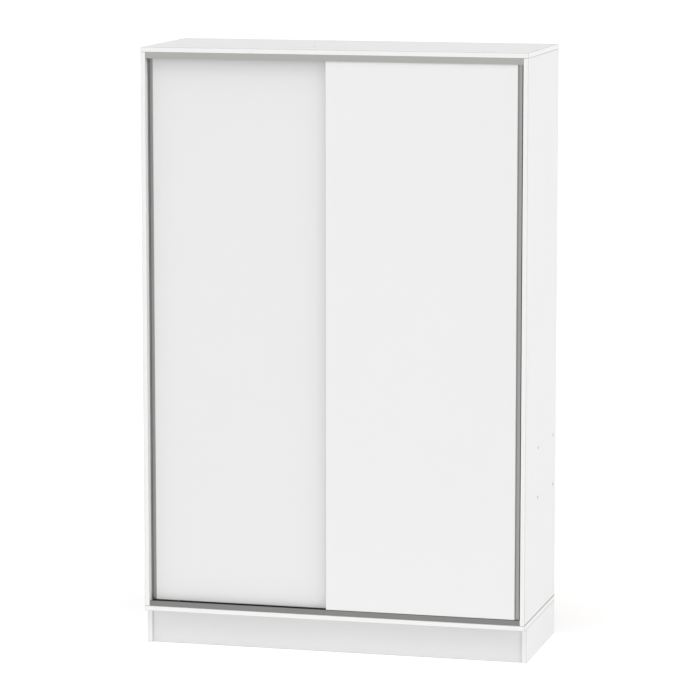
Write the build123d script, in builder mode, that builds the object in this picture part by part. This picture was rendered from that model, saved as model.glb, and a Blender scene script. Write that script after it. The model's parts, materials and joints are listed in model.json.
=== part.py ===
"""Two-door sliding wardrobe, flat-pack melamine board, in millimetres.

The origin is on the floor under the middle of the carcass: +X to the right, +Y to the back, +Z up.
The right-hand door runs in the front channel and the left-hand door in the rear one.
"""

from build123d import *
import os

os.makedirs("parts", exist_ok=True)

# ---------------------------------------------------------------- driving dimensions
WIDTH = 1200.0
DEPTH = 470.0
HEIGHT = 1850.0
BOARD = 15.0  # melamine-faced board
SHEET = 3.0  # hardboard back
EDGE_ROUND = 1.0  # rounding left by the edge trimmer
NAIL_HEAD = 0.8

PLINTH_HEIGHT = 105.0
PLINTH_RECESS = 30.0  # side boards of the plinth, behind the front plane
PLINTH_FRONT_STEP = 5.0  # the front board lies this much further back

DIVIDER_CENTRE = -95.0
DIVIDER_RECESS = 42.0
SHELF_RECESS = 48.0
FIXED_SHELF_LEVELS = (483.0, 637.0)  # centre heights, right bay
PIN_SHELF_LEVELS = (425.0, 745.0, 1097.0, 1449.0)  # undersides, left bay
RAIL_HEIGHT = 1772.0
RAIL_RADIUS = 12.5

DOOR_PANEL_WIDTH = 590.0
DOOR_BOTTOM = 137.5
DOOR_TOP = 1817.5
DOOR_PITCH = 19.0  # between the middles of the two doors
FRONT_DOOR_FACE = 3.0  # behind the front plane
GRIP_WIDTH = 14.0
LEFT_DOOR_GAP = 1.5  # left side board to the rear door's grip
RIGHT_DOOR_GAP = 2.5  # right side board to the front door's grip
DOOR_TRAVEL = 550.0

WHEEL_RADIUS = 11.0
WHEEL_WIDTH = 6.0
AXLE_RADIUS = 2.0
ROLLER_INSET = 70.0  # wheel centre to the end of the door panel
RUNNING_GAP = 0.3

# ---------------------------------------------------------------- derived places
LEFT = -WIDTH / 2
RIGHT = WIDTH / 2
FRONT = -DEPTH / 2
BACK = DEPTH / 2
SHEET_BACK = BACK - NAIL_HEAD
BOARD_BACK = SHEET_BACK - SHEET
LEFT_INNER = LEFT + BOARD
RIGHT_INNER = RIGHT - BOARD
BOTTOM_TOP = PLINTH_HEIGHT + BOARD
TOP_UNDER = HEIGHT - BOARD
DIVIDER_LEFT = DIVIDER_CENTRE - BOARD / 2
DIVIDER_RIGHT = DIVIDER_CENTRE + BOARD / 2
SIDE_CENTRES = (LEFT + BOARD / 2, RIGHT - BOARD / 2)
UPRIGHTS = (SIDE_CENTRES[0], DIVIDER_CENTRE, SIDE_CENTRES[1])

FRONT_DOOR_Y = FRONT + FRONT_DOOR_FACE + BOARD / 2
REAR_DOOR_Y = FRONT_DOOR_Y + DOOR_PITCH

# fixings, measured back from the front plane
TOP_SCREW_ROWS = (FRONT + 155.0, FRONT + 390.0)
TOP_DOWEL_ROWS = (FRONT + 70.0, FRONT + 275.0, FRONT + 440.0)
SHELF_SCREW_ROWS = (FRONT + 190.0, FRONT + 425.0)
PIN_ROWS = (FRONT + 90.0, FRONT + 420.0)
PIN_SPACING = 32.0
PIN_STEPS = (-1, 0, 1)  # a spare hole below and above each shelf's own
PIN_RADIUS = 2.45
PIN_HOLE_RADIUS = 2.5
PIN_HOLE_DEPTH = 9.0

# confirmat screw and the stepped hole that it sits in
HEAD_RADIUS = 4.9
HEAD_DEPTH = 1.2  # top of the head below the board's face
HEAD_THICK = 2.6
NECK_RADIUS = 3.5
ROOT_RADIUS = 2.4
SCREW_LENGTH = 50.0
HOLE_CLEARANCE = 0.06
PILOT_SPARE = 1.0  # a pilot hole is this much deeper than its screw
CAP_RADIUS = 5.0
CAP_THICK = 1.0

DOWEL_RADIUS = 4.0
DOWEL_IN_FACE = 10.0
DOWEL_IN_EDGE = 20.0
DOWEL_SPARE = 0.5  # glue room at each end of a dowel

CUT_OVERRUN = 1.0  # how far a cut runs past the face that it opens
INNER_TOP_ALIGN = (Align.CENTER, Align.CENTER, Align.MAX)


# ---------------------------------------------------------------- helpers
def finish(piece, name):
    """Label a finished piece and write its STEP file."""
    piece.part.label = name
    export_step(piece.part, f"parts/{name}.step")


def block(x, y, z, mode=Mode.ADD):
    """A box between two planes along each axis, in the part being built."""
    with Locations(((x[0] + x[1]) / 2, (y[0] + y[1]) / 2, (z[0] + z[1]) / 2)):
        Box(x[1] - x[0], y[1] - y[0], z[1] - z[0], mode=mode)


def facing(point, normal):
    """Plane on a board's face at a fixing, its normal pointing out of the board."""
    return Plane(origin=point, z_dir=normal)


def drill(planes, radius, depth, start=0.0):
    """Round blind holes that go in against each plane's normal, from a depth of start."""
    with Locations(*planes):
        with Locations((0, 0, -start)):
            Cylinder(radius, depth, align=INNER_TOP_ALIGN, mode=Mode.SUBTRACT)


def drill_clearance(planes):
    """Stepped holes through the outer board of a screwed joint."""
    drill(planes, CAP_RADIUS + HOLE_CLEARANCE, HEAD_DEPTH + HEAD_THICK)
    drill(planes, NECK_RADIUS + HOLE_CLEARANCE, BOARD)


def drill_pilot(planes):
    """Pilot holes in the board that receives the screws' roots."""
    drill(planes, ROOT_RADIUS + HOLE_CLEARANCE, SCREW_LENGTH - BOARD + PILOT_SPARE, start=BOARD)


def drill_dowel_face(planes):
    """Dowel holes in the inner face of the top or bottom board."""
    depth = DOWEL_IN_FACE + DOWEL_SPARE
    drill(planes, DOWEL_RADIUS + HOLE_CLEARANCE, depth, start=BOARD - depth)


def drill_dowel_edge(planes):
    """Dowel holes in the end of an upright."""
    drill(planes, DOWEL_RADIUS + HOLE_CLEARANCE, DOWEL_IN_EDGE + DOWEL_SPARE, start=BOARD)


def round_edges(board, axis=None):
    """Take the sharp edge off a whole board, or only off its edges along one axis."""
    chosen = board.edges() if axis is None else board.edges().filter_by(axis)
    fillet(chosen, EDGE_ROUND)


def cylinder_between(planes, radius, start, end):
    """Round pegs along each plane's normal, from a depth of start to a depth of end."""
    with Locations(*planes):
        with Locations((0, 0, -start)):
            Cylinder(radius, end - start, align=INNER_TOP_ALIGN)


# ---------------------------------------------------------------- joints between boards
top_screws = [facing((x, y, HEIGHT), (0, 0, 1)) for x in UPRIGHTS for y in TOP_SCREW_ROWS]
bottom_screws = [facing((x, y, PLINTH_HEIGHT), (0, 0, -1)) for x in UPRIGHTS for y in TOP_SCREW_ROWS]
side_screws = [
    facing((RIGHT, y, z), (1, 0, 0)) for z in FIXED_SHELF_LEVELS for y in SHELF_SCREW_ROWS
]
divider_screws = [
    facing((DIVIDER_LEFT, y, z), (-1, 0, 0)) for z in FIXED_SHELF_LEVELS for y in SHELF_SCREW_ROWS
]
top_dowels = [facing((x, y, HEIGHT), (0, 0, 1)) for x in UPRIGHTS for y in TOP_DOWEL_ROWS]
bottom_dowels = [facing((x, y, PLINTH_HEIGHT), (0, 0, -1)) for x in UPRIGHTS for y in TOP_DOWEL_ROWS]


def at_upright(planes, x):
    """The fixings of one upright."""
    return [plane for plane in planes if abs(plane.origin.X - x) < BOARD / 2]


def pin_holes(face_x, normal_x):
    """Line-bored shelf-pin holes: each shelf's own pair, and a spare above and below it."""
    planes = []
    for level in PIN_SHELF_LEVELS:
        for step in PIN_STEPS:
            for y in PIN_ROWS:
                height = level - PIN_RADIUS + step * PIN_SPACING
                planes.append(facing((face_x, y, height), (normal_x, 0, 0)))
    return planes


left_pin_holes = pin_holes(LEFT_INNER, 1)
divider_pin_holes = pin_holes(DIVIDER_LEFT, -1)

# ---------------------------------------------------------------- carcass boards
with BuildPart() as top_panel:
    block((LEFT, RIGHT), (FRONT, BOARD_BACK), (TOP_UNDER, HEIGHT))
    round_edges(top_panel)
    drill_clearance(top_screws)
    drill_dowel_face(top_dowels)
finish(top_panel, "top_panel")

with BuildPart() as bottom_panel:
    block((LEFT, RIGHT), (FRONT, BOARD_BACK), (PLINTH_HEIGHT, BOTTOM_TOP))
    round_edges(bottom_panel)
    drill_clearance(bottom_screws)
    drill_dowel_face(bottom_dowels)
finish(bottom_panel, "bottom_panel")

with BuildPart() as left_side:
    block((LEFT, LEFT_INNER), (FRONT, BOARD_BACK), (BOTTOM_TOP, TOP_UNDER))
    round_edges(left_side)
    drill_pilot(at_upright(top_screws + bottom_screws, SIDE_CENTRES[0]))
    drill_dowel_edge(at_upright(top_dowels + bottom_dowels, SIDE_CENTRES[0]))
    drill(left_pin_holes, PIN_HOLE_RADIUS, PIN_HOLE_DEPTH)
finish(left_side, "left_side")

with BuildPart() as right_side:
    block((RIGHT_INNER, RIGHT), (FRONT, BOARD_BACK), (BOTTOM_TOP, TOP_UNDER))
    round_edges(right_side)
    drill_pilot(at_upright(top_screws + bottom_screws, SIDE_CENTRES[1]))
    drill_dowel_edge(at_upright(top_dowels + bottom_dowels, SIDE_CENTRES[1]))
    drill_clearance(side_screws)
finish(right_side, "right_side")

with BuildPart() as divider:
    block((DIVIDER_LEFT, DIVIDER_RIGHT), (FRONT + DIVIDER_RECESS, BOARD_BACK), (BOTTOM_TOP, TOP_UNDER))
    round_edges(divider, Axis.Z)
    drill_pilot(at_upright(top_screws + bottom_screws, DIVIDER_CENTRE))
    drill_dowel_edge(at_upright(top_dowels + bottom_dowels, DIVIDER_CENTRE))
    drill_clearance(divider_screws)
    drill(divider_pin_holes, PIN_HOLE_RADIUS, PIN_HOLE_DEPTH)
finish(divider, "divider")

# ---------------------------------------------------------------- shelves
SHELF_NAMES = ("fixed_shelf_lower", "fixed_shelf_upper")
for shelf_name, level in zip(SHELF_NAMES, FIXED_SHELF_LEVELS):
    with BuildPart() as fixed_shelf:
        block(
            (DIVIDER_RIGHT, RIGHT_INNER),
            (FRONT + SHELF_RECESS, BOARD_BACK),
            (level - BOARD / 2, level + BOARD / 2),
        )
        round_edges(fixed_shelf, Axis.X)
        drill_pilot([plane for plane in side_screws + divider_screws if plane.origin.Z == level])
    finish(fixed_shelf, shelf_name)

SHELF_SIDE_GAP = 0.5
SHELF_BACK_GAP = 5.0
for number, level in enumerate(PIN_SHELF_LEVELS, start=1):
    with BuildPart() as pin_shelf:
        block(
            (LEFT_INNER + SHELF_SIDE_GAP, DIVIDER_LEFT - SHELF_SIDE_GAP),
            (FRONT + SHELF_RECESS, BOARD_BACK - SHELF_BACK_GAP),
            (level, level + BOARD),
        )
        round_edges(pin_shelf)
    finish(pin_shelf, f"left_shelf_{number}")

PIN_REACH = 8.0  # what stands out of the upright
PIN_SPARE = 0.5  # left empty behind each pin
HOLES_PER_SHELF = len(PIN_STEPS) * len(PIN_ROWS)  # in one upright
with BuildPart() as shelf_pins:
    for holes in (left_pin_holes, divider_pin_holes):
        for first in range(0, len(holes), HOLES_PER_SHELF):
            used = holes[first + len(PIN_ROWS) : first + 2 * len(PIN_ROWS)]
            cylinder_between(used, PIN_RADIUS, -PIN_REACH, PIN_HOLE_DEPTH - PIN_SPARE)
finish(shelf_pins, "shelf_pins")

# ---------------------------------------------------------------- hardboard back
SHEET_INSET = 2.0
BACK_SEAM = 0.5
BACK_BOTTOM = PLINTH_HEIGHT + SHEET_INSET
BACK_TOP = HEIGHT - SHEET_INSET
BACK_SPANS = {
    "back_left": (LEFT + SHEET_INSET, DIVIDER_CENTRE - BACK_SEAM),
    "back_right": (DIVIDER_CENTRE + BACK_SEAM, RIGHT - SHEET_INSET),
}
for sheet_name, span in BACK_SPANS.items():
    with BuildPart() as back_sheet:
        block(span, (BOARD_BACK, SHEET_BACK), (BACK_BOTTOM, BACK_TOP))
    finish(back_sheet, sheet_name)

NAIL_HEAD_RADIUS = 2.4
NAIL_RADIUS = 0.8
NAIL_LENGTH = 18.0
NAIL_COLUMN_COUNT = 10
NAIL_ROW_COUNT = 9
NAIL_EDGE = 8.0  # nail to the outer edge of the carcass
NAIL_SEAM = 4.0  # nail to the seam between the sheets
NAIL_ROW_MARGIN = 20.0
nail_columns = (LEFT + NAIL_EDGE, DIVIDER_CENTRE - NAIL_SEAM, DIVIDER_CENTRE + NAIL_SEAM, RIGHT - NAIL_EDGE)
nail_spots = []
for column in nail_columns:
    for index in range(NAIL_COLUMN_COUNT):
        share = (index + 0.5) / NAIL_COLUMN_COUNT
        nail_spots.append((column, BACK_BOTTOM + share * (BACK_TOP - BACK_BOTTOM)))
for row in (PLINTH_HEIGHT + NAIL_EDGE, HEIGHT - NAIL_EDGE):
    for index in range(NAIL_ROW_COUNT):
        share = (index + 0.5) / NAIL_ROW_COUNT
        nail_spots.append((LEFT + NAIL_ROW_MARGIN + share * (WIDTH - 2 * NAIL_ROW_MARGIN), row))
nail_planes = [facing((x, BACK, z), (0, 1, 0)) for x, z in nail_spots]
with BuildPart() as back_nails:
    cylinder_between(nail_planes, NAIL_HEAD_RADIUS, 0, NAIL_HEAD)
    cylinder_between(nail_planes, NAIL_RADIUS, NAIL_HEAD, NAIL_LENGTH)
finish(back_nails, "back_nails")

# ---------------------------------------------------------------- plinth
plinth_front_face = FRONT + PLINTH_RECESS + PLINTH_FRONT_STEP
plinth_back_face = BOARD_BACK - PLINTH_FRONT_STEP
PLINTH_BOARDS = {
    "plinth_left": ((LEFT, LEFT_INNER), (FRONT + PLINTH_RECESS, BOARD_BACK)),
    "plinth_right": ((RIGHT_INNER, RIGHT), (FRONT + PLINTH_RECESS, BOARD_BACK)),
    "plinth_front": ((LEFT_INNER, RIGHT_INNER), (plinth_front_face, plinth_front_face + BOARD)),
    "plinth_back": ((LEFT_INNER, RIGHT_INNER), (plinth_back_face - BOARD, plinth_back_face)),
    "plinth_cross": (
        (DIVIDER_LEFT, DIVIDER_RIGHT),
        (plinth_front_face + BOARD, plinth_back_face - BOARD),
    ),
}
for board_name, (x_span, y_span) in PLINTH_BOARDS.items():
    with BuildPart() as plinth_board:
        block(x_span, y_span, (0, PLINTH_HEIGHT))
        if board_name in ("plinth_left", "plinth_right"):
            round_edges(plinth_board, Axis.Z)
    finish(plinth_board, board_name)

CORNER_LEG = 36.0
CORNER_HEIGHT = 28.0
CORNER_WALL = 3.0
with BuildPart() as plinth_corner_blocks:
    for x_corner, x_in in ((LEFT_INNER, 1), (RIGHT_INNER, -1)):
        for y_corner, y_in in ((plinth_front_face + BOARD, 1), (plinth_back_face - BOARD, -1)):
            with BuildSketch(Plane.XY.offset(PLINTH_HEIGHT - CORNER_HEIGHT)) as corner:
                with BuildLine():
                    Polyline(
                        (x_corner, y_corner),
                        (x_corner + x_in * CORNER_LEG, y_corner),
                        (x_corner + x_in * CORNER_WALL * 2, y_corner + y_in * CORNER_WALL * 2),
                        (x_corner, y_corner + y_in * CORNER_LEG),
                        close=True,
                    )
                make_face()
            extrude(amount=CORNER_HEIGHT)
finish(plinth_corner_blocks, "plinth_corner_blocks")

# ---------------------------------------------------------------- screws, caps and dowels
SOCKET_RADIUS = 2.3
SOCKET_DEPTH = 2.0
confirmat_planes = top_screws + bottom_screws + side_screws + divider_screws
with BuildPart() as confirmat_screws:
    cylinder_between(confirmat_planes, HEAD_RADIUS, HEAD_DEPTH, HEAD_DEPTH + HEAD_THICK)
    cylinder_between(confirmat_planes, NECK_RADIUS, HEAD_DEPTH + HEAD_THICK, BOARD)
    cylinder_between(confirmat_planes, ROOT_RADIUS, BOARD, SCREW_LENGTH)
    for plane in confirmat_planes:
        with BuildSketch(plane.offset(-HEAD_DEPTH)):
            RegularPolygon(SOCKET_RADIUS, 6)
    extrude(amount=-SOCKET_DEPTH, mode=Mode.SUBTRACT)
finish(confirmat_screws, "confirmat_screws")

with BuildPart() as screw_caps:
    cylinder_between(top_screws + side_screws + divider_screws, CAP_RADIUS, 0, CAP_THICK)
finish(screw_caps, "screw_caps")

with BuildPart() as dowels:
    cylinder_between(
        top_dowels + bottom_dowels,
        DOWEL_RADIUS,
        BOARD - DOWEL_IN_FACE,
        BOARD + DOWEL_IN_EDGE,
    )
finish(dowels, "dowels")

# ---------------------------------------------------------------- hanging rail
RAIL_Y = FRONT + 254.0
RAIL_WALL = 1.2
SOCKET_FLANGE = 2.5
SOCKET_FLANGE_RADIUS = 23.0
SOCKET_RING_RADIUS = 15.5
SOCKET_REACH = 13.0
SOCKET_SCREW_OFFSET = 19.0
WOOD_SCREW_RADIUS = 1.6
WOOD_HEAD_RADIUS = 3.1
WOOD_HEAD_DEPTH = 1.7
WOOD_SCREW_LENGTH = 13.0
WOOD_SCREW_PLAY = 0.15
WOOD_HEAD_PLAY = 0.2
WOOD_HEAD_SINK = 0.15
RAIL_FIT = 0.05


def wood_screw_holes(planes):
    """Countersunk holes in a thin fitting."""
    with Locations(*planes):
        CounterSinkHole(
            WOOD_SCREW_RADIUS + WOOD_SCREW_PLAY, WOOD_HEAD_RADIUS + WOOD_HEAD_PLAY, depth=SOCKET_FLANGE
        )


def wood_screws(planes):
    """Countersunk wood screws, heads just below the fitting's surface."""
    with Locations(*planes):
        with Locations((0, 0, -WOOD_HEAD_SINK)):
            Cone(WOOD_SCREW_RADIUS, WOOD_HEAD_RADIUS, WOOD_HEAD_DEPTH, align=INNER_TOP_ALIGN)
    cylinder_between(planes, WOOD_SCREW_RADIUS, WOOD_HEAD_DEPTH + WOOD_HEAD_SINK, WOOD_SCREW_LENGTH)


with BuildPart() as hanging_rail:
    rail_start = DIVIDER_RIGHT + SOCKET_FLANGE + RUNNING_GAP
    rail_end = RIGHT_INNER - SOCKET_FLANGE - RUNNING_GAP
    with BuildSketch(Plane.YZ.offset(rail_start)):
        with Locations((RAIL_Y, RAIL_HEIGHT)):
            Circle(RAIL_RADIUS)
            Circle(RAIL_RADIUS - RAIL_WALL, mode=Mode.SUBTRACT)
    extrude(amount=rail_end - rail_start)
finish(hanging_rail, "hanging_rail")

rail_screw_planes = []
for socket_name, face_x, inward in (
    ("rail_socket_left", DIVIDER_RIGHT, 1),
    ("rail_socket_right", RIGHT_INNER, -1),
):
    seat = Plane(origin=(face_x, RAIL_Y, RAIL_HEIGHT), x_dir=(0, 1, 0), z_dir=(inward, 0, 0))
    screw_x = face_x + inward * SOCKET_FLANGE
    these_screws = [
        facing((screw_x, RAIL_Y + side * SOCKET_SCREW_OFFSET, RAIL_HEIGHT), (inward, 0, 0))
        for side in (-1, 1)
    ]
    rail_screw_planes += these_screws
    with BuildPart() as rail_socket:
        with BuildSketch(seat):
            Circle(SOCKET_FLANGE_RADIUS)
        extrude(amount=SOCKET_FLANGE)
        with BuildSketch(seat.offset(SOCKET_FLANGE)):
            Circle(SOCKET_RING_RADIUS)
            Circle(RAIL_RADIUS + RAIL_FIT, mode=Mode.SUBTRACT)
        extrude(amount=SOCKET_REACH - SOCKET_FLANGE)
        wood_screw_holes(these_screws)
    finish(rail_socket, socket_name)

with BuildPart() as rail_socket_screws:
    wood_screws(rail_screw_planes)
finish(rail_socket_screws, "rail_socket_screws")

# ---------------------------------------------------------------- door tracks
TRACK_END_GAP = 0.5
TRACK_START = LEFT_INNER + TRACK_END_GAP
TRACK_LENGTH = RIGHT_INNER - TRACK_END_GAP - TRACK_START
TRACK_PLATE = 2.0
FASCIA_WALL = 1.5
FASCIA_BOTTOM = TOP_UNDER - 19.0
GUIDE_CHANNEL = 17.0
TOP_WALL_BOTTOM = DOOR_TOP + 1.5  # the hidden walls clear the doors
BOTTOM_WALL_TOP = BOTTOM_TOP + 14.0
FRONT_LIP_TOP = DOOR_BOTTOM - 1.0  # the front wall closes the slit under the front door
BOTTOM_WALL = 2.0
WHEEL_CHANNEL = 12.0
TRACK_SCREW_COUNT = 5


def track_wall(y, z):
    """One wall of a track's section, in the sketch being built."""
    with Locations(((y[0] + y[1]) / 2, (z[0] + z[1]) / 2)):
        Rectangle(y[1] - y[0], z[1] - z[0])


channel_half = GUIDE_CHANNEL / 2
top_track_front = FRONT_DOOR_Y - channel_half - FASCIA_WALL
top_track_back = REAR_DOOR_Y + channel_half + FASCIA_WALL
plate_under = TOP_UNDER - TRACK_PLATE
top_track_screws = []
bottom_track_screws = []
for door_y in (FRONT_DOOR_Y, REAR_DOOR_Y):
    for index in range(TRACK_SCREW_COUNT):
        x = TRACK_START + (index + 0.5) / TRACK_SCREW_COUNT * TRACK_LENGTH
        top_track_screws.append(facing((x, door_y, plate_under), (0, 0, -1)))
        bottom_track_screws.append(facing((x, door_y, BOTTOM_TOP + TRACK_PLATE), (0, 0, 1)))

with BuildPart() as top_track:
    with BuildSketch(Plane.YZ.offset(TRACK_START)):
        track_wall((top_track_front, top_track_back), (plate_under, TOP_UNDER))
        track_wall((top_track_front, top_track_front + FASCIA_WALL), (FASCIA_BOTTOM, TOP_UNDER))
        track_wall(
            (FRONT_DOOR_Y + channel_half, REAR_DOOR_Y - channel_half), (TOP_WALL_BOTTOM, TOP_UNDER)
        )
        track_wall((top_track_back - FASCIA_WALL, top_track_back), (TOP_WALL_BOTTOM, TOP_UNDER))
    extrude(amount=TRACK_LENGTH)
    wood_screw_holes(top_track_screws)
finish(top_track, "top_track")

wheel_half = WHEEL_CHANNEL / 2
lip_front = FRONT_DOOR_Y - wheel_half - BOTTOM_WALL
with BuildPart() as bottom_track:
    with BuildSketch(Plane.YZ.offset(TRACK_START)):
        track_wall(
            (lip_front, REAR_DOOR_Y + wheel_half + BOTTOM_WALL),
            (BOTTOM_TOP, BOTTOM_TOP + TRACK_PLATE),
        )
        track_wall((lip_front, lip_front + BOTTOM_WALL), (BOTTOM_TOP, FRONT_LIP_TOP))
        for door_y in (FRONT_DOOR_Y, REAR_DOOR_Y):
            for near in (door_y - wheel_half - BOTTOM_WALL, door_y + wheel_half):
                track_wall((near, near + BOTTOM_WALL), (BOTTOM_TOP, BOTTOM_WALL_TOP))
    extrude(amount=TRACK_LENGTH)
    wood_screw_holes(bottom_track_screws)
finish(bottom_track, "bottom_track")

with BuildPart() as track_screws:
    wood_screws(top_track_screws + bottom_track_screws)
finish(track_screws, "track_screws")

# ---------------------------------------------------------------- doors
# each door is (name, middle of the panel, depth of its middle, side of the grip);
# a door's places along X are worked out from its panel, and its grip lies beyond one end
left_panel_start = LEFT_INNER + LEFT_DOOR_GAP + GRIP_WIDTH
right_panel_end = RIGHT_INNER - RIGHT_DOOR_GAP - GRIP_WIDTH
LEFT_DOOR_X = left_panel_start + DOOR_PANEL_WIDTH / 2
RIGHT_DOOR_X = right_panel_end - DOOR_PANEL_WIDTH / 2
DOORS = (
    ("left_door", LEFT_DOOR_X, REAR_DOOR_Y, -1),
    ("right_door", RIGHT_DOOR_X, FRONT_DOOR_Y, 1),
)
ROLLER_OFFSET = DOOR_PANEL_WIDTH / 2 - ROLLER_INSET
HOUSING_LENGTH = 46.0
HOUSING_WIDTH = 11.0
HOUSING_HEIGHT = 21.0
HOUSING_BORE_PLAY = 0.01
MORTISE_CLEARANCE = 0.1
CHEEK_HALF_LENGTH = 8.0
CHEEK_INNER = WHEEL_WIDTH / 2 + 0.4  # side play of the wheel
CHEEK_OUTER = 5.3
CHEEK_DROP = 8.5
WHEEL_CENTRE_Z = BOTTOM_TOP + TRACK_PLATE + RUNNING_GAP + WHEEL_RADIUS
GUIDE_LENGTH = 40.0
GUIDE_WIDTH = 10.0
GUIDE_DEPTH = 18.0
FINGER_LENGTH = 24.0
FINGER_WIDTH = 15.0
FINGER_HEIGHT = 11.0
FINGER_ROUND = 4.0
GUIDE_SCREW_INSET = 4.0
GUIDE_HEAD_POCKET = 1.5
TONGUE_DEPTH = 8.0
TONGUE_THICK = 2.0
TONGUE_PLAY = 0.1
TONGUE_SPARE = 0.4  # left empty at the bottom of the groove
GRIP_WALL = 1.4
GRIP_RECESS = 5.0
CREST_RADIUS = 1.1
FITTING_SCREW_OFFSET = 18.0
FITTING_SCREW_LENGTH = 36.0
FITTING_SCREW_PLAY = 0.1
FITTING_HEAD_SINK = 0.2
FITTING_HEAD_THICK = 1.2
HOUSING_HEAD_POCKET = 2.0
TREAD_ROUND = 0.8
RIM_THICK = 2.6
HUB_THICK = 2.2
WEB_RECESS = 1.3
WHEEL_BORE_PLAY = 0.05
WHEEL_POCKET = 1.0  # room round the wheel in its housing


def span(centre, length):
    """The two ends of a length about its middle."""
    return (centre - length / 2, centre + length / 2)


def build_panel(name, x, y, grip_side):
    """Door board, with mortises for its rollers and guides and a groove for the grip's tongue."""
    edge = x + grip_side * DOOR_PANEL_WIDTH / 2
    groove_middle = edge - grip_side * TONGUE_DEPTH / 2
    with BuildPart() as door_panel:
        block(span(x, DOOR_PANEL_WIDTH), span(y, BOARD), (DOOR_BOTTOM, DOOR_TOP))
        round_edges(door_panel)
        block(
            span(groove_middle, TONGUE_DEPTH + TONGUE_SPARE),
            span(y, TONGUE_THICK + TONGUE_PLAY),
            (DOOR_BOTTOM - CUT_OVERRUN, DOOR_TOP + CUT_OVERRUN),
            mode=Mode.SUBTRACT,
        )
        for side in (-1, 1):
            fitting_x = x + side * ROLLER_OFFSET
            block(
                span(fitting_x, HOUSING_LENGTH + MORTISE_CLEARANCE),
                span(y, HOUSING_WIDTH + MORTISE_CLEARANCE),
                (DOOR_BOTTOM - CUT_OVERRUN, DOOR_BOTTOM + HOUSING_HEIGHT + MORTISE_CLEARANCE),
                mode=Mode.SUBTRACT,
            )
            block(
                span(fitting_x, GUIDE_LENGTH + MORTISE_CLEARANCE),
                span(y, GUIDE_WIDTH + MORTISE_CLEARANCE),
                (DOOR_TOP - GUIDE_DEPTH - MORTISE_CLEARANCE, DOOR_TOP + CUT_OVERRUN),
                mode=Mode.SUBTRACT,
            )
    finish(door_panel, f"{name}_panel")


def build_grip(name, x, y, grip_side):
    """Extruded aluminium grip along the door's outer edge, with a shallow finger groove."""
    edge = x + grip_side * DOOR_PANEL_WIDTH / 2
    face = y - BOARD / 2

    def bar(out, deep):
        """A wall of the section: out from the panel's edge, deep from the door's face."""
        with Locations((edge + grip_side * (out[0] + out[1]) / 2, face + (deep[0] + deep[1]) / 2)):
            Rectangle(out[1] - out[0], deep[1] - deep[0])

    with BuildPart() as grip:
        with BuildSketch(Plane.XY.offset(DOOR_BOTTOM)):
            bar((-TONGUE_DEPTH, 0), (BOARD / 2 - TONGUE_THICK / 2, BOARD / 2 + TONGUE_THICK / 2))
            bar((0, GRIP_WALL), (0, BOARD))
            bar((0, GRIP_WIDTH), (GRIP_RECESS, GRIP_RECESS + GRIP_WALL))
            bar((GRIP_WIDTH - GRIP_WALL, GRIP_WIDTH), (CREST_RADIUS, BOARD))
            bar((GRIP_WIDTH - 3 * GRIP_WALL, GRIP_WIDTH), (BOARD - GRIP_WALL, BOARD))
            with Locations((edge + grip_side * (GRIP_WIDTH - CREST_RADIUS), face + CREST_RADIUS)):
                Circle(CREST_RADIUS)
        extrude(amount=DOOR_TOP - DOOR_BOTTOM)
    finish(grip, f"{name}_grip")


def build_housing(name, x, y):
    """Roller housing let into the door's lower edge, with two cheeks that hold the axle."""
    bore = Plane(origin=(x, y, WHEEL_CENTRE_Z), z_dir=(0, 1, 0))
    with BuildPart() as housing:
        block(span(x, HOUSING_LENGTH), span(y, HOUSING_WIDTH), (DOOR_BOTTOM, DOOR_BOTTOM + HOUSING_HEIGHT))
        block(
            span(x, 2 * CHEEK_HALF_LENGTH),
            span(y, 2 * CHEEK_OUTER),
            (DOOR_BOTTOM - CHEEK_DROP, DOOR_BOTTOM),
        )
        block(
            span(x, 2 * (WHEEL_RADIUS + WHEEL_POCKET)),
            span(y, 2 * CHEEK_INNER),
            (DOOR_BOTTOM - CHEEK_DROP - CUT_OVERRUN, WHEEL_CENTRE_Z + WHEEL_RADIUS + WHEEL_POCKET),
            mode=Mode.SUBTRACT,
        )
        with Locations(bore):
            Cylinder(AXLE_RADIUS + HOUSING_BORE_PLAY, HOUSING_WIDTH + 2 * CUT_OVERRUN, mode=Mode.SUBTRACT)
        for side in (-1, 1):
            with Locations((x + side * FITTING_SCREW_OFFSET, y, DOOR_BOTTOM)):
                Cylinder(WOOD_HEAD_RADIUS + WOOD_HEAD_PLAY, 2 * HOUSING_HEAD_POCKET, mode=Mode.SUBTRACT)
                Cylinder(WOOD_SCREW_RADIUS + FITTING_SCREW_PLAY, 3 * HOUSING_HEIGHT, mode=Mode.SUBTRACT)
    finish(housing, name)


def build_wheel(name, x, y):
    """Nylon wheel with a web thinner than its rim and hub."""
    middle = Plane(origin=(x, y, WHEEL_CENTRE_Z), z_dir=(0, 1, 0))
    with BuildPart() as wheel:
        with BuildSketch(middle.offset(-WHEEL_WIDTH / 2)):
            Circle(WHEEL_RADIUS)
            Circle(AXLE_RADIUS + WHEEL_BORE_PLAY, mode=Mode.SUBTRACT)
        extrude(amount=WHEEL_WIDTH)
        rims = wheel.edges().filter_by(GeomType.CIRCLE).sort_by(SortBy.RADIUS)[-2:]
        fillet(rims, TREAD_ROUND)
        for outward in (-1, 1):
            with BuildSketch(middle.offset(outward * WHEEL_WIDTH / 2)):
                Circle(WHEEL_RADIUS - RIM_THICK)
                Circle(AXLE_RADIUS + HUB_THICK, mode=Mode.SUBTRACT)
            extrude(amount=-outward * WEB_RECESS, mode=Mode.SUBTRACT)
    finish(wheel, name)


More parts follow.
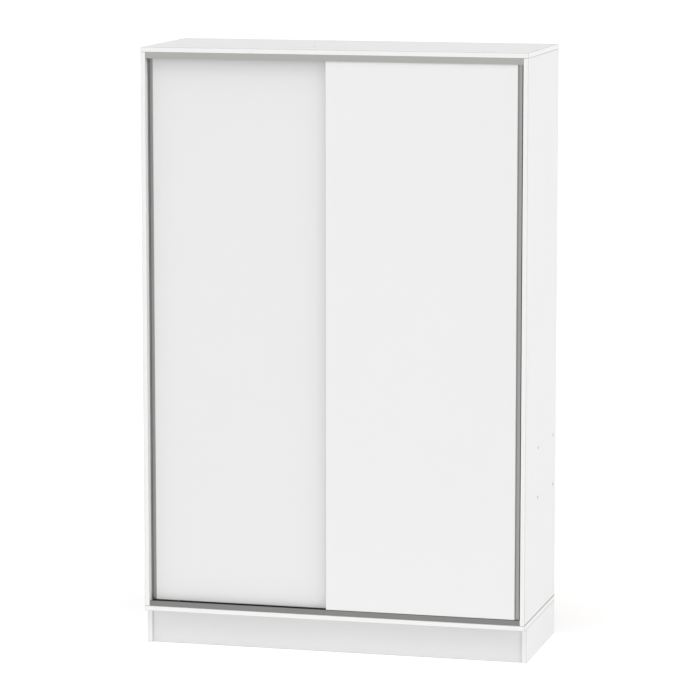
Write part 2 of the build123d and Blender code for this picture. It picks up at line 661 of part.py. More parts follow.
def build_guide(name, x, y):
    """Nylon guide let into the door's upper edge, its finger running in the top channel."""
    with BuildPart() as guide:
        block(span(x, GUIDE_LENGTH), span(y, GUIDE_WIDTH), (DOOR_TOP - GUIDE_DEPTH, DOOR_TOP))
        with BuildSketch(Plane.XY.offset(DOOR_TOP)):
            with Locations((x, y)):
                RectangleRounded(FINGER_LENGTH, FINGER_WIDTH, FINGER_ROUND)
        extrude(amount=FINGER_HEIGHT)
        for side in (-1, 1):
            with Locations((x + side * (GUIDE_LENGTH / 2 - GUIDE_SCREW_INSET), y, DOOR_TOP)):
                Cylinder(WOOD_HEAD_RADIUS + WOOD_HEAD_PLAY, 2 * GUIDE_HEAD_POCKET, mode=Mode.SUBTRACT)
                Cylinder(WOOD_SCREW_RADIUS + FITTING_SCREW_PLAY, 3 * GUIDE_DEPTH, mode=Mode.SUBTRACT)
    finish(guide, name)


def build_axles(name, x, y):
    """The two wheel axles, pressed into their housings' cheeks."""
    planes = [
        Plane(origin=(x + side * ROLLER_OFFSET, y, WHEEL_CENTRE_Z), z_dir=(0, 1, 0)) for side in (-1, 1)
    ]
    with BuildPart() as axles:
        with Locations(*planes):
            Cylinder(AXLE_RADIUS, 2 * CHEEK_OUTER)
    finish(axles, f"{name}_axles")


def build_fitting_screws(name, x, y):
    """Wood screws that hold the housings and guides in the door board."""
    planes = []
    for side in (-1, 1):
        for end in (-1, 1):
            housing_x = x + side * ROLLER_OFFSET + end * FITTING_SCREW_OFFSET
            guide_x = x + side * ROLLER_OFFSET + end * (GUIDE_LENGTH / 2 - GUIDE_SCREW_INSET)
            planes.append(facing((housing_x, y, DOOR_BOTTOM + FITTING_HEAD_SINK), (0, 0, -1)))
            planes.append(facing((guide_x, y, DOOR_TOP - FITTING_HEAD_SINK), (0, 0, 1)))
    with BuildPart() as screws:
        cylinder_between(planes, WOOD_HEAD_RADIUS, 0, FITTING_HEAD_THICK)
        cylinder_between(planes, WOOD_SCREW_RADIUS, FITTING_HEAD_THICK, FITTING_SCREW_LENGTH)
    finish(screws, f"{name}_screws")


for door_name, door_x, door_y, grip_side in DOORS:
    build_panel(door_name, door_x, door_y, grip_side)
    build_grip(door_name, door_x, door_y, grip_side)
    for number, side in ((1, -1), (2, 1)):
        fitting_x = door_x + side * ROLLER_OFFSET
        build_housing(f"{door_name}_roller_{number}", fitting_x, door_y)
        build_wheel(f"{door_name}_wheel_{number}", fitting_x, door_y)
        build_guide(f"{door_name}_guide_{number}", fitting_x, door_y)
    build_axles(door_name, door_x, door_y)
    build_fitting_screws(door_name, door_x, door_y)

# ---------------------------------------------------------------- door stops in the top track
STOP_LENGTH = 10.0
STOP_WIDTH = 16.0
STOP_HEIGHT = 8.0
finger_reach = ROLLER_OFFSET + FINGER_LENGTH / 2 + RUNNING_GAP
stop_starts = (
    (LEFT_DOOR_X - finger_reach - STOP_LENGTH, REAR_DOOR_Y),
    (LEFT_DOOR_X + finger_reach + DOOR_TRAVEL, REAR_DOOR_Y),
    (RIGHT_DOOR_X - finger_reach - DOOR_TRAVEL - STOP_LENGTH, FRONT_DOOR_Y),
    (RIGHT_DOOR_X + finger_reach, FRONT_DOOR_Y),
)
with BuildPart() as track_stops:
    for start, door_y in stop_starts:
        block(
            (start, start + STOP_LENGTH),
            span(door_y, STOP_WIDTH),
            (plate_under - STOP_HEIGHT, plate_under),
        )
finish(track_stops, "track_stops")
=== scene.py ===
"""Looks of the sliding door wardrobe: materials, small fittings, floor, light and camera.

Metres, in the CAD frame: +X to the right along the front, +Y to the back, +Z up, origin on the floor.
"""

import json
import math
import random

import bmesh
import bpy
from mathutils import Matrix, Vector


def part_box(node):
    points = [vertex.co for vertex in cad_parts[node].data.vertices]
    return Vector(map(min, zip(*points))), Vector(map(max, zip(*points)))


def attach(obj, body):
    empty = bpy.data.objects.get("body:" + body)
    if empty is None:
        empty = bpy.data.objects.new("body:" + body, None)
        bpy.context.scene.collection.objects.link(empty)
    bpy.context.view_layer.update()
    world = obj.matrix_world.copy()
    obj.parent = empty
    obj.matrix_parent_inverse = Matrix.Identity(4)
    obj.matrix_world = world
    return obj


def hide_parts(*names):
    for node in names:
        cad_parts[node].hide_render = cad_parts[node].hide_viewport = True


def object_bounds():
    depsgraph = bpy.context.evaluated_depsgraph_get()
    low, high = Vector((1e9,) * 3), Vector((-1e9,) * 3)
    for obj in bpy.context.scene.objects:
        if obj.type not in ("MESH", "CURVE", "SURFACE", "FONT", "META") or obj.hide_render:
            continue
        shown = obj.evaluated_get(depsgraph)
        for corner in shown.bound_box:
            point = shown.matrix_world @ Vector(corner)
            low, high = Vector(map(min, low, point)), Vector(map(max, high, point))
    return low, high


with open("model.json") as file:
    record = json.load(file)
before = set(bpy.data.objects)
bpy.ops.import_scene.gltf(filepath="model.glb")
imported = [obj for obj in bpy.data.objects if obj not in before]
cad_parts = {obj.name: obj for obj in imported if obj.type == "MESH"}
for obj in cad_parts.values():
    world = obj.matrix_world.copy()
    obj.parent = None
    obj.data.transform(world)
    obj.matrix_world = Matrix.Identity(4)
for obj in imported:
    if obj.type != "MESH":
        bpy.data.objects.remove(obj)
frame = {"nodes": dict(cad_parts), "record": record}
bpy.context.view_layer.update()
cad_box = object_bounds()

SEED = 7
MM = 0.001

# ---------------------------------------------------------------- camera and light
CAMERA_PLACE = (2.771, -10.863, 2.555)
CAMERA_YAW = 14.33  # degrees, turned to the left from straight at the front
CAMERA_PITCH = 8.35  # degrees, downwards
CAMERA_LENS = 188.5  # mm
CAMERA_SENSOR = 36.0  # mm
CAMERA_REACH = 300.0  # farthest distance it sees

HORIZON_LEVEL = 1.08
ZENITH_LEVEL = 0.35
HORIZON_TOP = 0.12  # height of a direction, from 0 at the horizon to 1 overhead
ZENITH_BOTTOM = 0.45

FLOOR_WHITE = 0.45
FLOOR_GLOW = 0.57  # lifts the soft shadows almost to white
FLOOR_REACH = 90.0

# each soft light: turn from the front to the right, height, spread (degrees), strength
SOFT_LIGHTS = {
    "overhead_light": (8.0, 74.0, 40.0, 1.54),
    "right_light": (68.0, 28.0, 40.0, 0.93),
    "left_light": (-70.0, 28.0, 40.0, 0.78),
}


def make_camera():
    """Camera at the product shot's place: a long lens, a little above and to the right."""
    data = bpy.data.cameras.new("camera")
    data.lens = CAMERA_LENS
    data.sensor_width = CAMERA_SENSOR
    data.clip_end = CAMERA_REACH
    camera = bpy.data.objects.new("camera", data)
    camera.location = CAMERA_PLACE
    camera.rotation_euler = (math.radians(90.0 - CAMERA_PITCH), 0.0, math.radians(CAMERA_YAW))
    bpy.context.scene.collection.objects.link(camera)
    bpy.context.scene.camera = camera


def make_soft_light(name, turn, height, spread, strength):
    """Large, far-off light that reaches the floor and the wardrobe evenly."""
    data = bpy.data.lights.new(name, "SUN")
    data.energy = strength
    data.angle = math.radians(spread)
    turn, height = math.radians(turn), math.radians(height)
    level = math.cos(height)
    towards = Vector((level * math.sin(turn), -level * math.cos(turn), math.sin(height)))
    light = bpy.data.objects.new(name, data)
    light.rotation_euler = towards.to_track_quat("Z", "Y").to_euler()
    bpy.context.scene.collection.objects.link(light)


def make_world():
    """Studio surroundings: white walls, dimmer towards the ceiling."""
    world = bpy.data.worlds.new("studio")
    bpy.context.scene.world = world
    world.use_nodes = True
    tree = world.node_tree
    background = tree.nodes["Background"]
    background.inputs["Color"].default_value = (1.0, 1.0, 1.0, 1.0)
    direction = tree.nodes.new("ShaderNodeSeparateXYZ")
    tree.links.new(tree.nodes.new("ShaderNodeTexCoord").outputs["Generated"], direction.inputs["Vector"])
    falloff = tree.nodes.new("ShaderNodeMapRange")
    falloff.interpolation_type = "SMOOTHSTEP"
    falloff.inputs["From Min"].default_value = HORIZON_TOP
    falloff.inputs["From Max"].default_value = ZENITH_BOTTOM
    falloff.inputs["To Min"].default_value = HORIZON_LEVEL
    falloff.inputs["To Max"].default_value = ZENITH_LEVEL
    tree.links.new(direction.outputs["Z"], falloff.inputs["Value"])
    tree.links.new(falloff.outputs["Result"], background.inputs["Strength"])


def make_floor():
    """Plain pale floor, so wide that it fills the view."""
    mesh = bpy.data.meshes.new("floor")
    reach = FLOOR_REACH
    corners = [(-reach, -reach, 0.0), (reach, -reach, 0.0), (reach, reach, 0.0), (-reach, reach, 0.0)]
    mesh.from_pydata(corners, [], [(0, 1, 2, 3)])
    floor = bpy.data.objects.new("floor", mesh)
    bpy.context.scene.collection.objects.link(floor)
    material, _, surface = new_material("floor")
    surface.inputs["Base Color"].default_value = (FLOOR_WHITE, FLOOR_WHITE, FLOOR_WHITE, 1.0)
    surface.inputs["Roughness"].default_value = 0.9
    surface.inputs["Specular IOR Level"].default_value = 0.1
    surface.inputs["Emission Color"].default_value = (1.0, 1.0, 1.0, 1.0)
    surface.inputs["Emission Strength"].default_value = FLOOR_GLOW
    floor.data.materials.append(material)


# ---------------------------------------------------------------- shader helpers
def new_material(name):
    """A material with one Principled shader: (material, its tree, the shader)."""
    material = bpy.data.materials.new(name)
    material.use_nodes = True
    tree = material.node_tree
    tree.nodes.clear()
    output = tree.nodes.new("ShaderNodeOutputMaterial")
    surface = tree.nodes.new("ShaderNodeBsdfPrincipled")
    tree.links.new(surface.outputs["BSDF"], output.inputs["Surface"])
    return material, tree, surface


def coordinates(tree, scale=(1.0, 1.0, 1.0)):
    """Object coordinates, which stay with the piece, stretched along each axis."""
    source = tree.nodes.new("ShaderNodeTexCoord").outputs["Object"]
    mapping = tree.nodes.new("ShaderNodeMapping")
    mapping.inputs["Scale"].default_value = scale
    tree.links.new(source, mapping.inputs["Vector"])
    return mapping.outputs["Vector"]


def noise(tree, scale, detail=2.0, stretch=(1.0, 1.0, 1.0)):
    """Noise of so many features a metre, from 0 to 1."""
    node = tree.nodes.new("ShaderNodeTexNoise")
    node.inputs["Scale"].default_value = scale
    node.inputs["Detail"].default_value = detail
    tree.links.new(coordinates(tree, stretch), node.inputs["Vector"])
    return node.outputs["Fac"]


def pits(tree, scale, stretch=(1.0, 1.0, 1.0)):
    """Smooth cells, for a moulded or pressed grain."""
    node = tree.nodes.new("ShaderNodeTexVoronoi")
    node.feature = "SMOOTH_F1"
    node.inputs["Scale"].default_value = scale
    tree.links.new(coordinates(tree, stretch), node.inputs["Vector"])
    return node.outputs["Distance"]


def calculate(tree, operation, first, second=0.0, third=0.0):
    """One Math node; each input is a number or a socket."""
    node = tree.nodes.new("ShaderNodeMath")
    node.operation = operation
    for socket, value in zip(node.inputs, (first, second, third)):
        if isinstance(value, (int, float)):
            socket.default_value = value
        else:
            tree.links.new(value, socket)
    return node.outputs["Value"]


def remap(tree, value, low, high):
    """Carry a value from 0..1 to low..high."""
    return calculate(tree, "MULTIPLY_ADD", value, high - low, low)


def multiply(tree, first, second):
    """The product of two values; of two masks, it is where both hold."""
    return calculate(tree, "MULTIPLY", first, second)


def invert(tree, mask):
    """One minus a mask."""
    return calculate(tree, "SUBTRACT", 1.0, mask)


def largest(tree, values):
    """The largest of one or more sockets."""
    result = values[0]
    for value in values[1:]:
        result = calculate(tree, "MAXIMUM", result, value)
    return result


def color_sockets(sockets):
    """Those sockets of a Mix node that carry colours; others have the same names."""
    return [socket for socket in sockets if socket.type == "RGBA"]


def blend_colors(tree, factor, first, second):
    """Mix two colours by a socket from 0 to 1; each colour is three numbers or a socket."""
    node = tree.nodes.new("ShaderNodeMix")
    node.data_type = "RGBA"
    tree.links.new(factor, node.inputs["Factor"])
    for socket, value in zip(color_sockets(node.inputs), (first, second)):
        if isinstance(value, tuple):
            socket.default_value = (*value, 1.0)
        else:
            tree.links.new(value, socket)
    return color_sockets(node.outputs)[0]


def darker(color, level):
    """A colour taken down to a part of its brightness."""
    return tuple(channel * level for channel in color)


def place_of_point(tree):
    """Where a point of the piece is: three sockets, along X, Y and Z."""
    separate = tree.nodes.new("ShaderNodeSeparateXYZ")
    tree.links.new(coordinates(tree), separate.inputs["Vector"])
    return [separate.outputs[axis] for axis in "XYZ"]


def relief(tree, surface, height, depth, strength, below=None):
    """Bump of that depth in metres, on top of another bump if one is given."""
    node = tree.nodes.new("ShaderNodeBump")
    node.inputs["Distance"].default_value = depth
    node.inputs["Strength"].default_value = strength
    tree.links.new(height, node.inputs["Height"])
    if below is not None:
        tree.links.new(below, node.inputs["Normal"])
    tree.links.new(node.outputs["Normal"], surface.inputs["Normal"])
    return node.outputs["Normal"]


# ---------------------------------------------------------------- materials
# grains are in features a metre, and colours are linear red, green and blue
BOARD_WHITE = (0.745, 0.745, 0.745)
BOARD_CLOUD = 0.985  # how bright the darker patches of a face are
PEARL_GRAIN = 1400.0
FILM_THICK = 0.35 * MM
CHIP_DARK = (0.20, 0.125, 0.065)
CHIP_LIGHT = (0.50, 0.36, 0.22)
CHIP_SPLINTER = (0.62, 0.48, 0.31)
CHIP_GRAIN = 420.0
SPLINTER_GRAIN = 260.0

BAND_WHITE = (0.765, 0.765, 0.76)
BAND_THICK = 1.0 * MM
BAND_SEAM = 0.12 * MM
SEAM_GREY = (0.45, 0.44, 0.42)

# painted shade: a grey line along every edge of a board, for the dark outline that shade gives its edges and
# joints
EDGE_SHADE_GREY = (0.40, 0.40, 0.395)
EDGE_SHADE_WIDTH = 0.95 * MM  # width of the painted shade line on either side of a board's edge

# painted shade: the recessed rear door and the plinth front under the bottom's overhang are made greyer for
# the shade of their recesses, and the front door a hair greyer
PAINTED_SHADE_TONES = {"left_door_panel": 0.965, "plinth_front": 0.955, "right_door_panel": 0.997}

# painted shadow: a dark line along the lower end of each side board's outer face, for the shaded joint where
# it stands on the bottom
SEAM_SHADOW_BOARDS = ("left_side", "right_side")
SEAM_SHADOW_HEIGHT = 4.0 * MM
SEAM_SHADOW_GREY = (0.20, 0.20, 0.195)

# the banded edges of each board: the axis across the edge, and its end along that axis
X, Y, Z = range(3)
LOW, HIGH = range(2)
FRONT_BAND = ((Y, LOW),)
OUTER_BANDS = ((Y, LOW), (X, LOW), (X, HIGH))
DOOR_BANDS = ((X, LOW), (X, HIGH), (Z, LOW), (Z, HIGH))
BANDED_EDGES = {
    "top_panel": OUTER_BANDS,
    "bottom_panel": OUTER_BANDS,
    "left_side": FRONT_BAND,
    "right_side": FRONT_BAND,
    "divider": FRONT_BAND,
    "fixed_shelf_lower": FRONT_BAND,
    "fixed_shelf_upper": FRONT_BAND,
    "left_shelf_1": FRONT_BAND,
    "left_shelf_2": FRONT_BAND,
    "left_shelf_3": FRONT_BAND,
    "left_shelf_4": FRONT_BAND,
    "plinth_left": FRONT_BAND,
    "plinth_right": FRONT_BAND,
    "plinth_front": (),
    "plinth_back": (),
    "plinth_cross": (),
    "left_door_panel": DOOR_BANDS,
    "right_door_panel": DOOR_BANDS,
}

LACQUER_WHITE = (0.76, 0.76, 0.75)
LACQUER_CLOUD = (0.745, 0.745, 0.735)
LACQUER_THICK = 0.2 * MM
HARDBOARD_BROWN = (0.30, 0.185, 0.10)
HARDBOARD_LIGHT = (0.42, 0.28, 0.165)
HARDBOARD_FLECK = (0.13, 0.075, 0.04)
HARDBOARD_FIBRE = (0.55, 0.40, 0.26)
FIBRE_GRAIN = 500.0

# how bright each extrusion is; the rear door's grip and the lower track are made darker as painted shade,
# for the shade they sit in behind the front door and under the doors
EXTRUSION_LEVELS_WITH_PAINTED_SHADE = {
    "top_track": 0.45,
    "bottom_track": 0.25,
    "left_door_grip": 0.34,
    "right_door_grip": 0.40,
}
ANODISED_BRIGHT = (1.0, 1.0, 0.975)
ANODISED_DULL = (0.93, 0.93, 0.897)
DIE_GRAIN = 2600.0
DIE_BROAD_GRAIN = 420.0
DIE_STRETCH = 0.003  # draws both grains out into lines along the extrusion

CAP_GREY = (0.16, 0.16, 0.16)
FITTING_WHITE = (0.74, 0.74, 0.73)
HOUSING_GREY = (0.085, 0.085, 0.09)
NYLON_BLACK = (0.03, 0.03, 0.03)
PLASTIC_FLOW = 0.94  # how bright the darker flow marks of a moulding are
PLASTIC_GRAIN = 1100.0
NYLON_GRAIN = 1600.0
RUBBER_BLACK = (0.025, 0.025, 0.026)
RUBBER_BLOOM = (0.065, 0.064, 0.062)
ZINC_BLUE = (0.50, 0.52, 0.54)
ZINC_BRIGHT = (0.66, 0.66, 0.64)
CHROME_BRIGHT = (0.78, 0.79, 0.80)
CHROME_SCRATCH = (0.66, 0.66, 0.66)
BEECH_DARK = (0.44, 0.27, 0.14)
BEECH_LIGHT = (0.66, 0.47, 0.29)
BEECH_FLECK = (0.30, 0.17, 0.085)


def thin_axis(low, high):
    """The axis along which a solid is thinnest."""
    extents = high - low
    return min(range(3), key=lambda axis: extents[axis])


def long_axis(low, high):
    """The axis along which a solid is longest."""
    extents = high - low
    return max(range(3), key=lambda axis: extents[axis])


def band_masks(tree, place, corners, banded):
    """Masks of a board's edge bands and of the glue line behind each."""
    bands, seams = [], []
    for axis, end in banded:
        edge = corners[end][axis]
        inward = calculate(tree, "ABSOLUTE", calculate(tree, "SUBTRACT", place[axis], edge))
        bands.append(calculate(tree, "LESS_THAN", inward, BAND_THICK))
        seams.append(calculate(tree, "COMPARE", inward, BAND_THICK, BAND_SEAM / 2))
    return largest(tree, bands), largest(tree, seams)


def edge_mask(tree, place, low, high):
    """A line along every edge of a board, where a point is near its ends on two axes at once: where the
    painted edge shade goes.
    """
    ends = []
    for axis in range(3):
        middle = (low[axis] + high[axis]) / 2
        off_middle = calculate(tree, "ABSOLUTE", calculate(tree, "SUBTRACT", place[axis], middle))
        ends.append(calculate(tree, "GREATER_THAN", off_middle, high[axis] - middle - EDGE_SHADE_WIDTH))
    count = calculate(tree, "ADD", calculate(tree, "ADD", ends[X], ends[Y]), ends[Z])
    return calculate(tree, "GREATER_THAN", count, 1.5)


def core_mask(tree, place, low, high):
    """The chipboard core, between the films of the two faces."""
    thin = thin_axis(low, high)
    above_film = calculate(tree, "GREATER_THAN", place[thin], low[thin] + FILM_THICK)
    below_film = calculate(tree, "LESS_THAN", place[thin], high[thin] - FILM_THICK)
    return multiply(tree, above_film, below_film)


def seam_shadow_mask(tree, place, low, high):
    """The lower end of a side board, on its outer face and behind its front band, where the painted shadow
    of its joint with the bottom goes.
    """
    end = calculate(tree, "LESS_THAN", place[Z], low.z + SEAM_SHADOW_HEIGHT)
    off_middle = calculate(tree, "ABSOLUTE", place[X])
    outer = calculate(tree, "GREATER_THAN", off_middle, abs(low.x + high.x) / 2)
    behind_band = calculate(tree, "GREATER_THAN", place[Y], low.y + BAND_THICK)
    return multiply(tree, multiply(tree, end, outer), behind_band)


def board_material(node):
    """White melamine board: faces with a pressed pearl grain, plastic edge bands with a glue
    line behind them, and bare chipboard wherever the core is cut open."""
    low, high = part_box(node)
    # painted shade: a board listed above gets a greyer white for the shade it sits in
    painted_shade_tone = PAINTED_SHADE_TONES.get(node, 1.0)
    material, tree, surface = new_material(f"board_{node}")
    place = place_of_point(tree)
    bare = core_mask(tree, place, low, high)
    white = darker(BOARD_WHITE, painted_shade_tone)
    face = blend_colors(tree, noise(tree, 3.0, detail=3.0), darker(white, BOARD_CLOUD), white)
    satin = remap(tree, noise(tree, 900.0, detail=3.0), 0.36, 0.50)
    pressed = relief(tree, surface, noise(tree, PEARL_GRAIN, detail=1.0), 0.03 * MM, 0.6)
    if BANDED_EDGES[node]:
        band, seam = band_masks(tree, place, (low, high), BANDED_EDGES[node])
        bare = multiply(tree, bare, invert(tree, band))
        face = blend_colors(tree, band, face, darker(BAND_WHITE, painted_shade_tone))
        face = blend_colors(tree, multiply(tree, seam, 0.8), face, SEAM_GREY)
        satin = calculate(tree, "SUBTRACT", satin, multiply(tree, band, 0.08))
        pressed = relief(tree, surface, invert(tree, seam), 0.06 * MM, 0.7, below=pressed)

    # painted shade: a patchy grey line along every edge of the board
    wear_and_shade_variation = remap(tree, noise(tree, 30.0, detail=4.0), 0.7, 1.0)
    edge = edge_mask(tree, place, low, high)
    face = blend_colors(tree, multiply(tree, edge, wear_and_shade_variation), face, EDGE_SHADE_GREY)
    # painted shadow: a dark line where each side board meets the bottom
    if node in SEAM_SHADOW_BOARDS:
        seam_shadow = seam_shadow_mask(tree, place, low, high)
        face = blend_colors(tree, multiply(tree, seam_shadow, wear_and_shade_variation), face, SEAM_SHADOW_GREY)

    chips = pits(tree, CHIP_GRAIN, stretch=(1.0, 1.0, 0.45))
    splinters = noise(tree, SPLINTER_GRAIN, detail=5.0)
    chip = blend_colors(tree, chips, CHIP_DARK, CHIP_LIGHT)
    chip = blend_colors(tree, multiply(tree, splinters, 0.6), chip, CHIP_SPLINTER)
    tree.links.new(blend_colors(tree, bare, face, chip), surface.inputs["Base Color"])
    tree.links.new(calculate(tree, "MULTIPLY_ADD", bare, 0.45, satin), surface.inputs["Roughness"])
    relief(tree, surface, multiply(tree, chips, bare), 0.5 * MM, 1.0, below=pressed)
    return material


def hardboard_material():
    """Thin hardboard: white lacquer on the inner face, bare pressed fibre outside and on the edges."""
    low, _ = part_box("back_left")
    material, tree, surface = new_material("hardboard")
    lacquered = calculate(tree, "LESS_THAN", place_of_point(tree)[Y], low.y + LACQUER_THICK)

    fibres = noise(tree, FIBRE_GRAIN, detail=6.0, stretch=(1.0, 1.0, 0.35))
    patches = noise(tree, 5.0, detail=5.0)
    mottle = remap(tree, noise(tree, 55.0, detail=8.0, stretch=(1.0, 1.0, 0.6)), -0.75, 1.75)
    mottle = calculate(tree, "MULTIPLY_ADD", patches, 0.5, multiply(tree, mottle, 0.6))
    brown = blend_colors(tree, mottle, HARDBOARD_BROWN, HARDBOARD_LIGHT)
    flecks = calculate(tree, "GREATER_THAN", noise(tree, 900.0), 0.66)
    brown = blend_colors(tree, multiply(tree, flecks, 0.5), brown, HARDBOARD_FLECK)
    brown = blend_colors(tree, multiply(tree, fibres, 0.45), brown, HARDBOARD_FIBRE)
    lacquer = blend_colors(tree, noise(tree, 5.0), LACQUER_CLOUD, LACQUER_WHITE)
    tree.links.new(blend_colors(tree, lacquered, brown, lacquer), surface.inputs["Base Color"])

    rough = calculate(tree, "MULTIPLY_ADD", lacquered, -0.22, remap(tree, fibres, 0.55, 0.75))
    tree.links.new(rough, surface.inputs["Roughness"])
    felted = relief(tree, surface, fibres, 0.08 * MM, 0.7)
    relief(tree, surface, patches, 0.8 * MM, 0.6, below=felted)
    return material


def aluminium_material(node):
    """Anodised extrusion: fine die lines along its length, and a faintly uneven satin finish."""
    material, tree, surface = new_material(f"aluminium_{node}")
    stretch = [1.0, 1.0, 1.0]
    stretch[long_axis(*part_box(node))] = DIE_STRETCH
    lines = noise(tree, DIE_GRAIN, detail=3.0, stretch=stretch)
    broad = noise(tree, DIE_BROAD_GRAIN, stretch=stretch)
    # painted shade: the rear door's grip and the lower track take a darker level
    level = EXTRUSION_LEVELS_WITH_PAINTED_SHADE[node]
    cloudy = multiply(tree, lines, noise(tree, 6.0))
    finish = blend_colors(tree, cloudy, darker(ANODISED_DULL, level), darker(ANODISED_BRIGHT, level))
    tree.links.new(finish, surface.inputs["Base Color"])
    surface.inputs["Metallic"].default_value = 1.0
    tree.links.new(remap(tree, lines, 0.34, 0.46), surface.inputs["Roughness"])
    drawn = relief(tree, surface, lines, 0.02 * MM, 0.6)
    relief(tree, surface, broad, 0.04 * MM, 0.35, below=drawn)
    return material


def plastic_material(name, color, roughness, grain=PLASTIC_GRAIN):
    """Moulded plastic with a fine spark-eroded grain and slight flow marks."""
    material, tree, surface = new_material(name)
    flow = noise(tree, 60.0, detail=3.0, stretch=(1.0, 1.0, 3.0))
    marked = blend_colors(tree, flow, darker(color, PLASTIC_FLOW), color)
    tree.links.new(marked, surface.inputs["Base Color"])
    rough = remap(tree, noise(tree, grain), roughness - 0.05, roughness + 0.07)
    tree.links.new(rough, surface.inputs["Roughness"])
    relief(tree, surface, pits(tree, grain), 0.03 * MM, 0.5)
    return material


def rubber_material():
    """Black rubber with a dusty bloom."""
    material, tree, surface = new_material("rubber_stop")
    bloom = noise(tree, 120.0, detail=5.0)
    dusty = blend_colors(tree, bloom, RUBBER_BLACK, RUBBER_BLOOM)
    tree.links.new(dusty, surface.inputs["Base Color"])
    tree.links.new(remap(tree, bloom, 0.62, 0.85), surface.inputs["Roughness"])
    relief(tree, surface, noise(tree, 1500.0), 0.05 * MM, 0.6)
    return material


def zinc_material():
    """Bright zinc plate: a slightly mottled, faintly blue metal."""
    material, tree, surface = new_material("zinc_steel")
    plate = blend_colors(tree, pits(tree, 900.0), ZINC_BLUE, ZINC_BRIGHT)
    tree.links.new(plate, surface.inputs["Base Color"])
    surface.inputs["Metallic"].default_value = 1.0
    tree.links.new(remap(tree, noise(tree, 800.0, detail=4.0), 0.22, 0.42), surface.inputs["Roughness"])
    relief(tree, surface, noise(tree, 1800.0), 0.02 * MM, 0.5)
    return material


def chrome_material():
    """Chrome plate with faint hanger scratches round the rail and soft smudges."""
    material, tree, surface = new_material("chrome_plate")
    scratches = noise(tree, 2200.0, stretch=(1.0, 0.02, 0.02))
    wear_and_shade_variation = calculate(tree, "GREATER_THAN", scratches, 0.62)
    plate = blend_colors(tree, multiply(tree, wear_and_shade_variation, 0.5), CHROME_BRIGHT, CHROME_SCRATCH)
    tree.links.new(plate, surface.inputs["Base Color"])
    surface.inputs["Metallic"].default_value = 1.0
    smudge = remap(tree, noise(tree, 14.0, detail=4.0), 0.05, 0.16)
    tree.links.new(calculate(tree, "MULTIPLY_ADD", wear_and_shade_variation, 0.12, smudge), surface.inputs["Roughness"])
    relief(tree, surface, scratches, 0.01 * MM, 0.3)
    return material


def beech_material():
    """Turned beech with short dark flecks along the grain."""
    material, tree, surface = new_material("beech")
    grain = noise(tree, 700.0, detail=5.0, stretch=(1.0, 1.0, 0.06))
    flecks = calculate(tree, "GREATER_THAN", noise(tree, 1500.0, stretch=(1.0, 1.0, 0.12)), 0.62)
    wood = blend_colors(tree, grain, BEECH_DARK, BEECH_LIGHT)
    wood = blend_colors(tree, multiply(tree, flecks, 0.6), wood, BEECH_FLECK)
    tree.links.new(wood, surface.inputs["Base Color"])
    tree.links.new(remap(tree, grain, 0.5, 0.7), surface.inputs["Roughness"])
    relief(tree, surface, grain, 0.08 * MM, 0.6)
    return material


def dress_frame():
    """Give every CAD node its finished material, and return the finishes that a slot shares."""
    finishes = {
        "hardboard": hardboard_material(),
        "cap_plastic": plastic_material("cap_plastic", CAP_GREY, 0.42),
        "white_plastic": plastic_material("white_plastic", FITTING_WHITE, 0.40),
        "grey_plastic": plastic_material("grey_plastic", HOUSING_GREY, 0.48),
        "nylon": plastic_material("nylon", NYLON_BLACK, 0.34, grain=NYLON_GRAIN),
        "rubber_stop": rubber_material(),
        "zinc_steel": zinc_material(),
        "chrome_plate": chrome_material(),
        "beech": beech_material(),
    }
    for row in frame["record"]["subparts"]:
        node = row["node"]
        if node in BANDED_EDGES:
            material = board_material(node)
        elif node in EXTRUSION_LEVELS_WITH_PAINTED_SHADE:
            material = aluminium_material(node)
        else:
            material = finishes[row["material_slot"]]
        mesh = frame["nodes"][node].data
        for index in range(len(mesh.materials)):
            mesh.materials[index] = material
    return finishes


# ---------------------------------------------------------------- small fittings
CAP_RIM = 0.35 * MM  # radius of its round
CAP_RIM_DEPTH = 0.15 * MM  # below the crown
CAP_CROWN = ((0.72, 0.22 * MM), (0.62, 0.10 * MM), (0.35, 0.03 * MM), (0.0, 0.0))  # part of radius, depth
CAP_SIDES = 40
CAP_NEAR = 5.0 * MM  # a cap this near the divider's face is sunk in the divider

NAIL_HEAD = 0.8 * MM
NAIL_ROUND = 0.3 * MM
NAIL_DOME = ((0.55, 0.68 * MM), (0.0, 0.74 * MM))  # part of radius, height
NAIL_POINT = 1.5 * MM
NAIL_LEAN = 0.02  # sideways for each unit along the nail
NAIL_SIDES = 20

SAME_PLACE = 0.001 * MM  # vertices nearer than this are one


def islands(node):
    """The lowest and highest corners of each separate solid of a node."""
    source = bmesh.new()
    source.from_mesh(frame["nodes"][node].data)
    bmesh.ops.remove_doubles(source, verts=source.verts, dist=SAME_PLACE)
    found, seen = [], set()
    for start in source.verts:
        if start in seen:
            continue
        group, waiting = [], [start]
        seen.add(start)
        while waiting:
            vertex = waiting.pop()
            group.append(vertex.co.copy())
            for edge in vertex.link_edges:
                other = edge.other_vert(vertex)
                if other not in seen:
                    seen.add(other)
                    waiting.append(other)
        low = Vector(min(point[axis] for point in group) for axis in range(3))
        high = Vector(max(point[axis] for point in group) for axis in range(3))
        found.append((low, high))
    source.free()
    return found


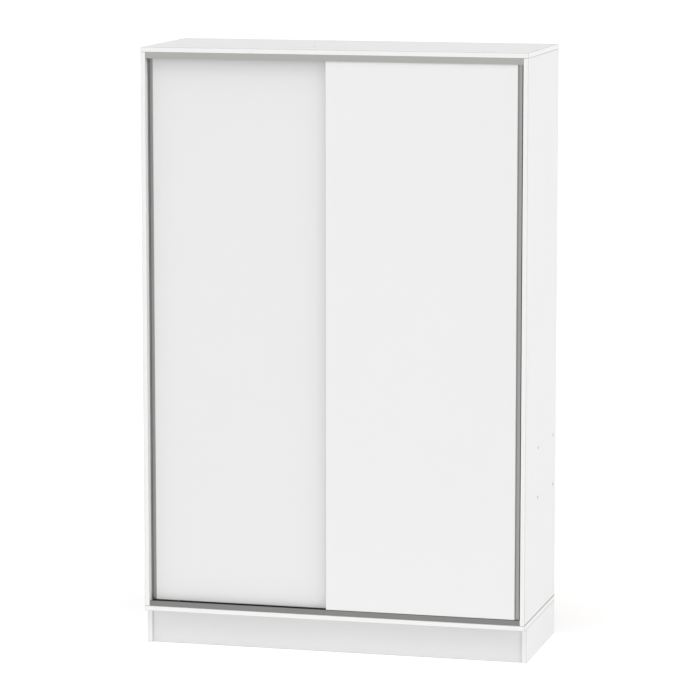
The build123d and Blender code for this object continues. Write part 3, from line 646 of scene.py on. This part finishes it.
def add_lathe(mesh, place, normal, profile, sides):
    """Turn a profile of (radius, height) points about a normal, closed at both ends on the axis."""
    turn = normal.to_track_quat("Z", "Y").to_matrix()
    rings = []
    for radius, height in profile:
        if radius == 0.0:
            rings.append([mesh.verts.new(place + turn @ Vector((0.0, 0.0, height)))])
            continue
        ring = []
        for index in range(sides):
            angle = 2 * math.pi * index / sides
            point = Vector((radius * math.cos(angle), radius * math.sin(angle), height))
            ring.append(mesh.verts.new(place + turn @ point))
        rings.append(ring)
    for lower, upper in zip(rings, rings[1:]):
        for index in range(sides):
            after = (index + 1) % sides
            if len(lower) == 1:
                mesh.faces.new((lower[0], upper[index], upper[after]))
            elif len(upper) == 1:
                mesh.faces.new((lower[index], lower[after], upper[0]))
            else:
                mesh.faces.new((lower[index], lower[after], upper[after], upper[index]))


def arc_points(centre, radius, start, end, count):
    """Points along an arc of a profile, angles in degrees."""
    points = []
    for index in range(count + 1):
        angle = math.radians(start + (end - start) * index / count)
        points.append((centre[0] + radius * math.cos(angle), centre[1] + radius * math.sin(angle)))
    return points


def piece_from(mesh, name, body, material):
    """Turn a built mesh into a smooth piece that rides on a body."""
    bmesh.ops.recalc_face_normals(mesh, faces=mesh.faces)
    data = bpy.data.meshes.new(name)
    mesh.to_mesh(data)
    mesh.free()
    data.materials.append(material)
    data.shade_smooth()
    piece = bpy.data.objects.new(name, data)
    bpy.context.scene.collection.objects.link(piece)
    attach(piece, body)
    return piece


def make_screw_caps(material):
    """Moulded caps, slightly domed and with a rolled rim, flush in their counterbores."""
    mesh = bmesh.new()
    middle = (cad_box[0] + cad_box[1]) / 2
    divider_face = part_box("divider")[0].x
    for low, high in islands("screw_caps"):
        axis = thin_axis(low, high)
        centre = (low + high) / 2
        on_divider = axis == X and abs(centre.x - divider_face) < CAP_NEAR
        outward = -1.0 if on_divider or centre[axis] < middle[axis] else 1.0
        normal = Vector(outward if index == axis else 0.0 for index in range(3))
        thick = high[axis] - low[axis]
        seat = centre - normal * thick / 2
        across = (axis + 1) % 3
        radius = (high[across] - low[across]) / 2
        profile = [(0.0, 0.0), (radius - CAP_RIM, 0.0), (radius, CAP_RIM)]
        profile += arc_points((radius - CAP_RIM, thick - CAP_RIM_DEPTH - CAP_RIM), CAP_RIM, 0, 90, 5)
        profile += [(radius * part, thick - depth) for part, depth in CAP_CROWN]
        add_lathe(mesh, seat, normal, profile, CAP_SIDES)
    piece = piece_from(mesh, "screw_caps_moulded", "carcass", material)
    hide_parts("screw_caps")


def make_back_nails(material):
    """Drive nails: domed heads, each a hair off square."""
    draw = random.Random(SEED)
    mesh = bmesh.new()
    for low, high in islands("back_nails"):
        radius = (high.x - low.x) / 2
        shank = radius / 3
        place = Vector(((low.x + high.x) / 2, high.y - NAIL_HEAD, (low.z + high.z) / 2))
        lean_x = draw.uniform(-NAIL_LEAN, NAIL_LEAN)
        lean_z = draw.uniform(-NAIL_LEAN, NAIL_LEAN)
        normal = Vector((lean_x, 1.0, lean_z)).normalized()
        tip = low.y - place.y
        profile = [(0.0, tip), (shank * 0.8, tip + NAIL_POINT), (shank, 0.0), (radius - NAIL_ROUND / 2, 0.0)]
        profile += arc_points((radius - NAIL_ROUND, NAIL_ROUND), NAIL_ROUND, -20, 90, 4)
        profile += [(radius * part, height) for part, height in NAIL_DOME]
        add_lathe(mesh, place, normal, profile, NAIL_SIDES)
    piece = piece_from(mesh, "back_nails_driven", "carcass", material)
    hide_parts("back_nails")


# ---------------------------------------------------------------- the whole scene
make_camera()
make_world()
make_floor()
for light_name, setting in SOFT_LIGHTS.items():
    make_soft_light(light_name, *setting)
bpy.context.scene.view_settings.view_transform = "Standard"

finishes = dress_frame()
make_screw_caps(finishes["cap_plastic"])
make_back_nails(finishes["zinc_steel"])

bpy.context.view_layer.update()
